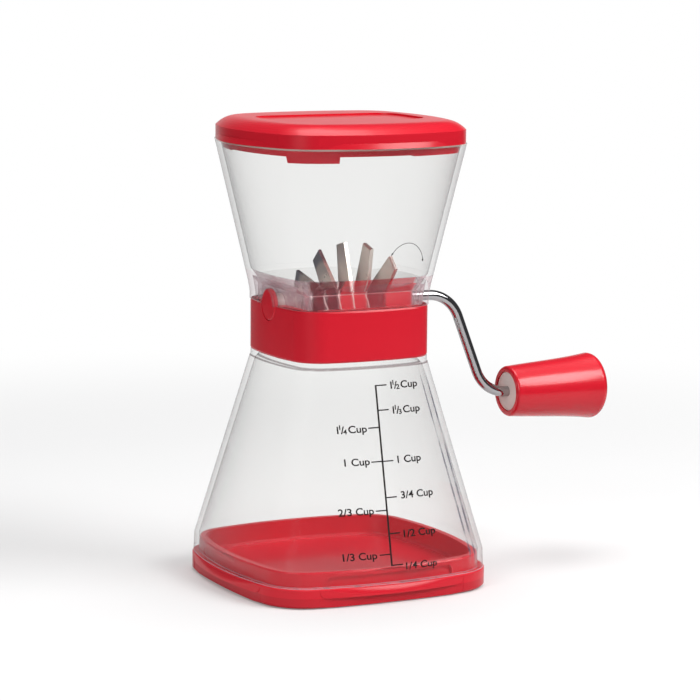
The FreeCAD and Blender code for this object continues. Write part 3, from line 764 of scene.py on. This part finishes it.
@dataclass(frozen=True)
class SatinMoulding:
    """Satin plastic or rubber with a fine texture."""

    name: str
    colour: Colour
    roughness: float = 0.5
    texture_mm: float = 0.35
    texture_depth_mm: float = 0.01
    texture_roughness: float = 0.15
    cloud_mm: float = 7.0
    cloud_span: Span = (0.4, 0.7)
    cloud_share: float = 0.5
    darkening: float = 0.88
    ior: float = 1.48

    def make(self) -> bpy.types.Material:
        """Build the material.

        Returns:
            The material.
        """
        material, graph = new_graph(self.name)
        cloudy = graph.noise(self.cloud_mm).between(*self.cloud_span) * self.cloud_share
        texture = graph.noise(self.texture_mm)
        colour = graph.blend(cloudy, self.colour, scaled(self.colour, self.darkening))
        rough = self.roughness + texture.swing(self.texture_roughness)
        graph.close(graph.surface(Base_Color=colour, Roughness=rough, IOR=self.ior,
                                  Normal=graph.bump(texture, self.texture_depth_mm)))
        return material


@dataclass(frozen=True)
class PrintInk:
    """Dark pad-print ink."""

    name: str
    colour: Colour
    roughness: float = 0.55
    ior: float = 1.3
    wear_mm: float = 0.8
    wear_span: Span = (0.5, 0.8)
    wear_share: float = 0.5
    wear_roughness: float = 0.1
    lightening: float = 1.8

    def make(self) -> bpy.types.Material:
        """Build the material.

        Returns:
            The material.
        """
        material, graph = new_graph(self.name)
        wear = graph.noise(self.wear_mm, detail=3.0)
        worn = wear.between(*self.wear_span) * self.wear_share
        colour = graph.blend(worn, self.colour, scaled(self.colour, self.lightening))
        rough = self.roughness + wear * self.wear_roughness
        graph.close(graph.surface(Base_Color=colour, Roughness=rough, IOR=self.ior))
        return material


CONTAINER_ZONES = (
    Band(84.95, 85.55, 0.12, 0.5, (0.10, 0.02, 0.03)),  # painted shade: dark line at the crease under the shoulder's band
    Band(7.3, 7.85, 0.1, 0.3, (0.72, 0.74, 0.84)),  # painted highlight along the edge of the foot, on the base's shelf
    # painted dark reflection beside two upright corners
    Corner(9.0, 84.0),
)
HOPPER_ZONES = (
    Band(100.0, 118.4, 0.25, 0.03, (0.55, 0.40, 0.44), painted_tint_share=1.0),  # painted pink tint up to the funnel's root, for the housing's red seen through the neck
    # painted reflection of the housing's red on the funnel
    Funnel(),
    Band(167.2, 168.5, 0.15, 0.4, (0.60, 0.57, 0.50)),  # rim under the lid
)


class Finish(Enum):
    """Every finish of the chopper."""

    RED = GlossyMoulding("red_moulding", (0.62, 0.010, 0.024), (0.55, 0.008, 0.022))
    BASE = GlossyMoulding("red_base", (0.62, 0.010, 0.024), (0.55, 0.008, 0.022), lips=FingerLips())
    GRIP = GlossyMoulding("red_grip", (0.60, 0.009, 0.022), (0.52, 0.007, 0.020), roughness=0.25,
                          grain_mm=0.7, grain_depth_mm=0.018, coat=0.35, coat_roughness=0.16)
    CONTAINER = ClearMoulding("clear_container", tint=(0.988, 0.989, 0.986),
                              painted_tint=(0.988, 0.989, 0.986), zones=CONTAINER_ZONES)
    HOPPER = ClearMoulding("clear_hopper", tint=(0.98, 0.981, 0.978),
                           painted_tint=(0.95, 0.92, 0.93), zones=HOPPER_ZONES)
    ROD = BrightSteel("polished_rod", (0.46, 0.45, 0.46), roughness=0.07, grain_mm=0.6,
                      grain_run=(0.1, 1.0, 1.0), grain_depth_mm=0.002)
    TINE = BrightSteel("rolled_tine", (0.86, 0.81, 0.75), roughness=0.30, grain_mm=0.3,
                       grain_run=(1.0, 0.12, 0.12), grain_depth_mm=0.0012, metallic=0.65,
                       blue_grey_tips=BlueGreyTips())
    HARDWARE = BrightSteel("spring_steel", (0.55, 0.54, 0.52), roughness=0.3, grain_mm=0.3,
                           grain_depth_mm=0.004)
    DISC = SatinMoulding("pale_disc", (0.72, 0.64, 0.60), roughness=0.42)
    BUSH = SatinMoulding("bush_plastic", (0.62, 0.53, 0.50), roughness=0.4)
    PAD = SatinMoulding("pad_rubber", (0.50, 0.49, 0.47), roughness=0.7, texture_mm=0.5,
                        texture_depth_mm=0.03)
    INK = PrintInk("scale_ink", (0.007, 0.004, 0.004))


class Paints:
    """Materials that have been made, by finish."""

    def __init__(self) -> None:
        """Start with none."""
        self._made: dict[Finish, bpy.types.Material] = {}

    def of(self, finish: Finish) -> bpy.types.Material:
        """Material of a finish, made at its first use.

        Args:
            finish: the finish.

        Returns:
            The material.
        """
        if finish not in self._made:
            self._made[finish] = finish.value.make()
        return self._made[finish]

    def coat(self, thing: bpy.types.Object, finish: Finish) -> None:
        """Give a whole object one finish.

        Args:
            thing: the object.
            finish: its finish.
        """
        thing.data.materials.clear()
        thing.data.materials.append(self.of(finish))


# ---- modelling helpers -----------------------------------------------------------------------
def only(thing: bpy.types.Object) -> None:
    """Make one object the only selected and active one.

    Args:
        thing: the object.
    """
    if bpy.context.mode != "OBJECT":
        bpy.ops.object.mode_set(mode="OBJECT")
    bpy.ops.object.select_all(action="DESELECT")
    thing.select_set(True)
    bpy.context.view_layer.objects.active = thing


def settle(thing: bpy.types.Object) -> None:
    """Put the object's place into its mesh."""
    only(thing)
    bpy.ops.object.transform_apply(location=True, rotation=True, scale=True)


def finish_modifiers(thing: bpy.types.Object) -> None:
    """Apply every modifier in order.

    Args:
        thing: the object.
    """
    only(thing)
    for modifier in list(thing.modifiers):
        bpy.ops.object.modifier_apply(modifier=modifier.name)


def join(things: list[bpy.types.Object], name: str) -> bpy.types.Object:
    """Join meshes into one piece.

    Args:
        things: the meshes.
        name: the piece's name.

    Returns:
        The piece.
    """
    only(things[0])
    for thing in things:
        thing.select_set(True)
    bpy.ops.object.join()
    piece = bpy.context.view_layer.objects.active
    piece.name = name
    return piece


@dataclass
class PrintFilm:
    """Thin ink on the front wall of a clear shell."""

    shell: bpy.types.Object
    lift_mm: float = 0.03
    thickness_mm: float = 0.05
    merge_mm: float = 0.01
    start_y_mm: float = -75.0

    def lay(self, piece: bpy.types.Object, cuts: int = 0) -> bpy.types.Object:
        """Press a flat upright piece onto the wall.

        Args:
            piece: flat mesh in front of the shell, facing -Y.
            cuts: subdivisions before it bends.

        Returns:
            The piece with its thickness.
        """
        only(piece)
        bpy.ops.object.mode_set(mode="EDIT")
        bpy.ops.mesh.select_all(action="SELECT")
        bpy.ops.mesh.remove_doubles(threshold=self.merge_mm * MM)
        if cuts:
            bpy.ops.mesh.subdivide(number_cuts=cuts)
        bpy.ops.object.mode_set(mode="OBJECT")
        wrap = piece.modifiers.new("press", "SHRINKWRAP")
        wrap.target = self.shell
        wrap.wrap_method = "PROJECT"
        wrap.use_project_x, wrap.use_project_y, wrap.use_project_z = False, True, False
        wrap.use_positive_direction = True
        wrap.use_negative_direction = False
        wrap.wrap_mode = "ABOVE_SURFACE"
        wrap.offset = self.lift_mm * MM
        body = piece.modifiers.new("film", "SOLIDIFY")
        body.thickness = self.thickness_mm * MM
        body.offset = 1.0
        finish_modifiers(piece)
        return piece


@dataclass
class Lettering:
    """Upright thin letters on a wall that faces -Y."""

    film: PrintFilm
    cap_mm: float = 2.66
    cap_share: float = 0.729
    weight_mm: float = 0.065
    curve_steps: int = 6

    def words(self, text: str, left_mm: float, base_mm: float,
              scale: float = 1.0) -> bpy.types.Object:
        """Flat letters as a mesh.

        Args:
            text: the letters.
            left_mm: left edge.
            base_mm: baseline height.
            scale: size against the full letters.

        Returns:
            The mesh, in front of the shell.
        """
        bpy.ops.object.select_all(action="DESELECT")
        place = (left_mm * MM, self.film.start_y_mm * MM, base_mm * MM)
        bpy.ops.object.text_add(location=place, rotation=ON_WALL)
        thing = bpy.context.object
        thing.data.body = text
        thing.data.size = self.cap_mm * scale / self.cap_share * MM
        thing.data.offset = self.weight_mm * MM
        thing.data.resolution_u = self.curve_steps
        only(thing)
        bpy.ops.object.convert(target="MESH")
        thing = bpy.context.object
        settle(thing)
        return thing

    def fit(self, thing: bpy.types.Object, left_mm: float, width_mm: float) -> None:
        """Stretch letters to a width.

        Args:
            thing: the letters' mesh.
            left_mm: left edge after the fit.
            width_mm: width after the fit.
        """
        across = [corner.co.x for corner in thing.data.vertices]
        low, high = min(across), max(across)
        share = width_mm * MM / (high - low)
        thing.data.transform(Matrix.Translation((left_mm * MM, 0.0, 0.0))
                             @ Matrix.Diagonal((share, 1.0, 1.0, 1.0))
                             @ Matrix.Translation((-low, 0.0, 0.0)))


class Side(Enum):
    """Side of the scale's line that a mark stands on."""

    LEFT = -1
    RIGHT = 1


@dataclass(frozen=True)
class Mark:
    """One mark of the scale: its whole number, its fraction, and its place in millimetres."""

    whole: str
    fraction: tuple[str, str]
    side: Side
    height_mm: float
    base_mm: float
    left_mm: float
    width_mm: float


@dataclass(frozen=True)
class RaisedFraction:
    """Places of a small fraction's letters after a whole number, from the label's left edge."""

    scale: float = 0.66
    over_mm: float = 1.05
    over_rise: float = 0.50
    stroke_mm: float = 1.9
    stroke_drop_mm: float = 0.1
    stroke_scale: float = 1.02
    under_mm: float = 2.6
    under_drop_mm: float = 0.3
    word_mm: float = 4.15


@dataclass
class MeasuringScale:
    """Printed scale on the container: a line, ticks and their labels, in millimetres."""

    film: PrintFilm
    paints: Paints
    line_top: Span = (-0.15, 79.1)
    line_foot: Span = (-1.75, 14.1)
    line_width: float = 0.72
    line_cuts: int = 11
    tick_length: float = 4.6
    tick_width: float = 0.46
    tick_cuts: int = 2
    raised: RaisedFraction = RaisedFraction()
    marks: tuple[Mark, ...] = (
        Mark("1", ("1", "2"), Side.RIGHT, 78.9, 77.4, 6.1, 11.9),
        Mark("1", ("1", "3"), Side.RIGHT, 69.95, 68.4, 5.9, 12.0),
        Mark("1", ("1", "4"), Side.LEFT, 63.85, 62.5, -17.5, 11.8),
        Mark("1", ("", ""), Side.LEFT, 51.65, 50.75, -16.1, 10.1),
        Mark("1", ("", ""), Side.RIGHT, 51.6, 50.6, 5.5, 10.3),
        Mark("", ("3", "4"), Side.RIGHT, 38.6, 37.8, 5.3, 14.1),
        Mark("", ("2", "3"), Side.LEFT, 34.1, 33.1, -20.6, 14.0),
        Mark("", ("1", "2"), Side.RIGHT, 25.7, 24.0, 4.6, 13.9),
        Mark("", ("1", "3"), Side.LEFT, 18.4, 17.2, -20.8, 13.5),
        Mark("", ("1", "4"), Side.RIGHT, 14.4, 12.4, 4.2, 13.6),
    )
    letters: Lettering = field(init=False)

    def __post_init__(self) -> None:
        """Take the letters that fit the film."""
        self.letters = Lettering(self.film)

    def line_x(self, height: float) -> float:
        """X of the leaning line at a height."""
        (top_x, top_z), (foot_x, foot_z) = self.line_top, self.line_foot
        return foot_x + (top_x - foot_x) * (height - foot_z) / (top_z - foot_z)

    def bar(self, corners: list[tuple[float, float]]) -> bpy.types.Object:
        """Flat bar with four corners.

        Args:
            corners: x and z of each corner in turn, from the lower left.

        Returns:
            The mesh, in front of the shell.
        """
        bpy.ops.object.select_all(action="DESELECT")
        start_y = self.film.start_y_mm * MM
        bpy.ops.mesh.primitive_plane_add(size=1.0, location=(0.0, start_y, 0.0),
                                         rotation=ON_WALL)
        thing = bpy.context.object
        settle(thing)
        order = [(-1, -1), (1, -1), (1, 1), (-1, 1)]
        for corner in thing.data.vertices:
            turn = order.index((1 if corner.co.x > 0 else -1, 1 if corner.co.z > 0 else -1))
            x, z = corners[turn]
            corner.co = (x * MM, start_y, z * MM)
        return thing

    def strokes(self) -> bpy.types.Object:
        """The line and every tick, pressed onto the wall.

        Returns:
            The piece.
        """
        half = self.line_width / 2
        (top_x, top_z), (foot_x, foot_z) = self.line_top, self.line_foot
        line = self.bar([(foot_x - half, foot_z), (foot_x + half, foot_z),
                         (top_x + half, top_z), (top_x - half, top_z)])
        bars = [self.film.lay(line, self.line_cuts)]
        for mark in self.marks:
            near = self.line_x(mark.height_mm)
            low, high = sorted((near, near + mark.side.value * self.tick_length))
            z0, z1 = mark.height_mm - self.tick_width / 2, mark.height_mm + self.tick_width / 2
            tick = self.bar([(low, z0), (high, z0), (high, z1), (low, z1)])
            bars.append(self.film.lay(tick, self.tick_cuts))
        return join(bars, "scale_strokes")

    def label(self, mark: Mark) -> bpy.types.Object:
        """One label, pressed onto the wall.

        Args:
            mark: the mark that it names.

        Returns:
            The label's mesh.
        """
        words, base, raised = self.letters.words, mark.base_mm, self.raised
        over, under = mark.fraction
        if not mark.whole:
            parts = [words(f"{over}/{under} Cup", 0.0, base)]
        elif over:
            lift = self.letters.cap_mm * raised.over_rise
            parts = [
                words(mark.whole, 0.0, base),
                words(over, raised.over_mm, base + lift, raised.scale),
                words("/", raised.stroke_mm, base - raised.stroke_drop_mm, raised.stroke_scale),
                words(under, raised.under_mm, base - raised.under_drop_mm, raised.scale),
                words("Cup", raised.word_mm, base),
            ]
        else:
            parts = [words(f"{mark.whole} Cup", 0.0, base)]
        label = join(parts, "label")
        self.letters.fit(label, mark.left_mm, mark.width_mm)
        return self.film.lay(label)

    def build(self) -> None:
        """Make the printed pieces."""
        strokes = self.strokes()
        labels = join([self.label(mark) for mark in self.marks], "scale_labels")
        for piece in (strokes, labels):
            self.paints.coat(piece, Finish.INK)
            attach(piece, "container")
            LOG.info("printed %s", piece.name)


@dataclass
class TurningMark:
    """Printed arc with an arrowhead at each end, on the hopper's front, in millimetres."""

    film: PrintFilm
    paints: Paints
    path: tuple[Span, ...] = (
        (4.9, 127.9), (6.8, 130.2), (9.2, 131.55), (11.8, 131.95), (14.8, 131.05),
        (17.3, 128.9), (18.7, 126.6), (19.2, 124.9))
    width: float = 0.2
    curve_steps: int = 6
    head: float = 1.1
    head_half: float = 0.36
    head_past_end: float = 0.55

    def build(self) -> None:
        """Make the mark."""
        parts = [self.strip(), self.arrowhead(self.path[1], self.path[0]),
                 self.arrowhead(self.path[-2], self.path[-1])]
        piece = join([self.film.lay(part) for part in parts], "turning_mark")
        self.paints.coat(piece, Finish.INK)
        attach(piece, "hopper_unit")
        LOG.info("printed %s", piece.name)

    def flat(self, outline: list[tuple[float, float]], faces: list[tuple[int, ...]],
             name: str) -> bpy.types.Object:
        """Flat mesh in front of the shell.

        Args:
            outline: x and z of each corner.
            faces: corner numbers of each face.
            name: name of the mesh.

        Returns:
            The mesh.
        """
        mesh = bpy.data.meshes.new(name)
        depth = self.film.start_y_mm * MM
        mesh.from_pydata([(x * MM, depth, z * MM) for x, z in outline], [], faces)
        thing = bpy.data.objects.new(name, mesh)
        bpy.context.scene.collection.objects.link(thing)
        return thing

    def strip(self) -> bpy.types.Object:
        """The arc itself, from a smooth curve through its path.

        Returns:
            The flat mesh, in front of the shell.
        """
        curve = bpy.data.curves.new("arc_path", "CURVE")
        curve.dimensions = "3D"
        curve.resolution_u = self.curve_steps
        spline = curve.splines.new("BEZIER")
        spline.bezier_points.add(len(self.path) - 1)
        for point, (x, z) in zip(spline.bezier_points, self.path):
            point.co = (x * MM, 0.0, z * MM)
            point.handle_left_type = point.handle_right_type = "AUTO"
        carrier = bpy.data.objects.new("arc_path", curve)
        bpy.context.scene.collection.objects.link(carrier)
        mesh = bpy.data.meshes.new_from_object(carrier)
        spots = [Vector((v.co.x / MM, v.co.z / MM)) for v in mesh.vertices]
        bpy.data.objects.remove(carrier)
        outline, faces = [], []
        for index, spot in enumerate(spots):
            before, after = spots[max(index - 1, 0)], spots[min(index + 1, len(spots) - 1)]
            along = (after - before).normalized()
            normal = Vector((-along.y, along.x)) * self.width / 2
            outline += [tuple(spot + normal), tuple(spot - normal)]
            if index:
                low = 2 * index
                faces.append((low - 2, low - 1, low + 1, low))
        return self.flat(outline, faces, "arc_strip")

    def arrowhead(self, before: Span, tip: Span) -> bpy.types.Object:
        """Solid head whose point lies past the arc's end.

        Args:
            before: a point of the arc before its end.
            tip: the arc's end.

        Returns:
            The head's mesh.
        """
        end = Vector(tip)
        along = (end - Vector(before)).normalized()
        across = Vector((-along.y, along.x)) * self.head * self.head_half
        point = end + along * self.head * self.head_past_end
        base = point - along * self.head
        corners = [tuple(base - across), tuple(base + across), tuple(point)]
        return self.flat(corners, [(0, 1, 2)], "arc_head")


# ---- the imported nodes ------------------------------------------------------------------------
@dataclass
class PackedNodes:
    """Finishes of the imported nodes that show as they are."""

    nodes: dict[str, bpy.types.Object]
    paints: Paints

    def finish_of(self, name: str) -> Finish:
        """Finish of one node.

        Args:
            name: the node's name.

        Returns:
            Its finish.
        """
        fixed = {
            "base_cap": Finish.BASE, "container": Finish.CONTAINER, "hopper": Finish.HOPPER,
            "crank_rod": Finish.ROD, "grip": Finish.GRIP,
            "retaining_clip": Finish.HARDWARE, "grip_retainer": Finish.HARDWARE,
            "grip_end_disc": Finish.DISC, "foot_pad": Finish.PAD,
        }
        if name in fixed:
            return fixed[name]
        if name.endswith(("_bush", "_washer")):
            return Finish.BUSH
        if name.startswith("tine_") and "spacer" not in name:
            return Finish.TINE
        return Finish.RED

    def dress(self) -> None:
        """Finish every node."""
        for name, node in self.nodes.items():
            finish = self.finish_of(name)
            self.paints.coat(node, finish)
            LOG.info("node %s is %s", name, finish.name.lower())


# ---- studio ----------------------------------------------------------------------------------
@dataclass
class Lamp:
    """Soft rectangular lamp aimed at the chopper."""

    name: str
    place: Direction
    size: Span
    power: float
    aim: Direction = (0.0, 0.0, 0.09)

    def build(self) -> None:
        """Add the lamp."""
        light = bpy.data.lights.new(self.name, "AREA")
        light.shape = "RECTANGLE"
        light.size, light.size_y = self.size
        light.energy = self.power
        lamp = bpy.data.objects.new(self.name, light)
        bpy.context.scene.collection.objects.link(lamp)
        turn = (Vector(self.place) - Vector(self.aim)).to_track_quat("Z", "Y")
        lamp.matrix_world = Matrix.Translation(self.place) @ turn.to_matrix().to_4x4()


@dataclass
class Studio:
    """White table, surroundings, lamps and camera, in metres and degrees."""

    azimuth: float = -26.86
    elevation: float = 8.59
    roll: float = 0.46
    distance: float = 1.090
    aim_height: float = 0.0879521
    shift_right: float = 0.0045235
    lens_mm: float = 147.2744
    sensor_mm: float = 36.0
    clip: Span = (0.05, 60.0)
    dark: Colour = (0.07, 0.07, 0.073)
    bright: Colour = (0.72, 0.72, 0.72)
    overhead: Colour = (0.8, 0.8, 0.8)
    sheet_edge: Span = (0.74, 0.98)
    sheet_top: Span = (0.12, 0.4)
    box_edge: Span = (0.7, 0.95)
    table_size: float = 30.0
    table_tone: Colour = (0.63, 0.63, 0.63)
    table_glow: float = 0.15
    table_fade: Span = (0.28, 0.60)
    lamps: tuple[Lamp, ...] = (
        Lamp("key", (0.78, -0.85, 0.98), (0.8, 0.8), 20.0),
        Lamp("fill", (-1.15, -0.75, 0.55), (0.7, 0.7), 9.0),
        Lamp("top", (0.05, 0.1, 1.3), (0.7, 0.7), 8.0),
    )

    def build(self) -> None:
        """Add everything."""
        self.camera()
        self.floor()
        self.world()
        for lamp in self.lamps:
            lamp.build()

    def camera(self) -> None:
        """Camera at the solved viewpoint."""
        a, e, r = (math.radians(v) for v in (self.azimuth, self.elevation, self.roll))
        back = Vector((math.sin(a) * math.cos(e), -math.cos(a) * math.cos(e), math.sin(e)))
        side = Vector((math.cos(a), math.sin(a), 0.0))
        rise = back.cross(side)
        right = side * math.cos(r) + rise * math.sin(r)
        up = rise * math.cos(r) - side * math.sin(r)
        place = Vector((0.0, 0.0, self.aim_height)) + back * self.distance + side * self.shift_right
        data = bpy.data.cameras.new("viewpoint")
        data.lens, data.sensor_width, data.sensor_fit = self.lens_mm, self.sensor_mm, "HORIZONTAL"
        data.clip_start, data.clip_end = self.clip
        camera = bpy.data.objects.new("viewpoint", data)
        turn = Matrix((right, up, back)).transposed().to_4x4()
        camera.matrix_world = Matrix.Translation(place) @ turn
        bpy.context.scene.collection.objects.link(camera)
        bpy.context.scene.camera = camera

    def seen(self, graph: Graph) -> Value:
        """1 for rays that look at the studio itself.

        Args:
            graph: the graph that uses it.

        Returns:
            The mask.
        """
        direct = graph.add("ShaderNodeLightPath", output="Is Camera Ray")
        return direct.or_more(graph.add("ShaderNodeLightPath", output="Is Transmission Ray"))

    def surround(self, graph: Graph, way: Value) -> Value:
        """Light and reflections of the surroundings: a pale sheet behind, a soft box above.

        Args:
            graph: the graph that uses it.
            way: unit vector towards the surroundings.

        Returns:
            The colour.
        """
        turn = math.radians(self.azimuth)
        behind = graph.along((-math.sin(turn), math.cos(turn), 0.0), way).between(*self.sheet_edge)
        height = graph.along(UP, way)
        sheet = behind * (1.0 - height.between(*self.sheet_top))
        level = graph.blend(sheet, self.dark, self.bright)
        return graph.blend(height.between(*self.box_edge), level, self.overhead)

    def floor(self) -> None:
        """White table that keeps the shadow and fades into the surroundings."""
        bpy.ops.object.select_all(action="DESELECT")
        bpy.ops.mesh.primitive_plane_add(size=1.0)
        floor = bpy.context.object
        floor.name = "table"
        floor.data.transform(Matrix.Diagonal((self.table_size, self.table_size, 1.0, 1.0)))
        material, graph = new_graph("table_white")
        seen = self.seen(graph)
        matt = graph.add("ShaderNodeBsdfDiffuse", None, {"Color": self.table_tone})
        glow = graph.add("ShaderNodeEmission", None, {"Strength": seen * self.table_glow})
        near = graph.add("ShaderNodeAddShader", None, {0: matt, 1: glow})
        way = graph.add("ShaderNodeVectorMath", {"operation": "NORMALIZE"}, {0: graph.place()})
        far_colour = graph.blend(seen, self.surround(graph, way), WHITE)
        far = graph.add("ShaderNodeEmission", None, {"Color": far_colour, "Strength": 1.0})
        reach = graph.add("ShaderNodeVectorMath", {"operation": "LENGTH"}, {0: graph.place()},
                          output="Value")
        graph.close(graph.mix(reach.between(*self.table_fade), near, far))
        floor.data.materials.append(material)

    def world(self) -> None:
        """White to the eye; bright behind and above, dark in front for light and reflections."""
        world = bpy.data.worlds.new("studio")
        bpy.context.scene.world = world
        world.use_nodes = True
        graph = Graph(world.node_tree)
        way = graph.add("ShaderNodeTexCoord", output="Generated")
        colour = graph.blend(self.seen(graph), self.surround(graph, way), WHITE)
        light = graph.add("ShaderNodeBackground", None, {"Color": colour, "Strength": 1.0})
        graph.close(light, "ShaderNodeOutputWorld")


def main() -> None:
    """Load the model, dress it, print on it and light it."""
    logging.basicConfig(level=logging.INFO, format="%(name)s: %(message)s")
    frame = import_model()
    paints = Paints()
    PackedNodes(frame["nodes"], paints).dress()
    MeasuringScale(PrintFilm(frame["nodes"]["container"]), paints).build()
    TurningMark(PrintFilm(frame["nodes"]["hopper"]), paints).build()
    Studio().build()
    bpy.context.scene.view_settings.view_transform = "Standard"


if __name__ == "__main__":
    main()
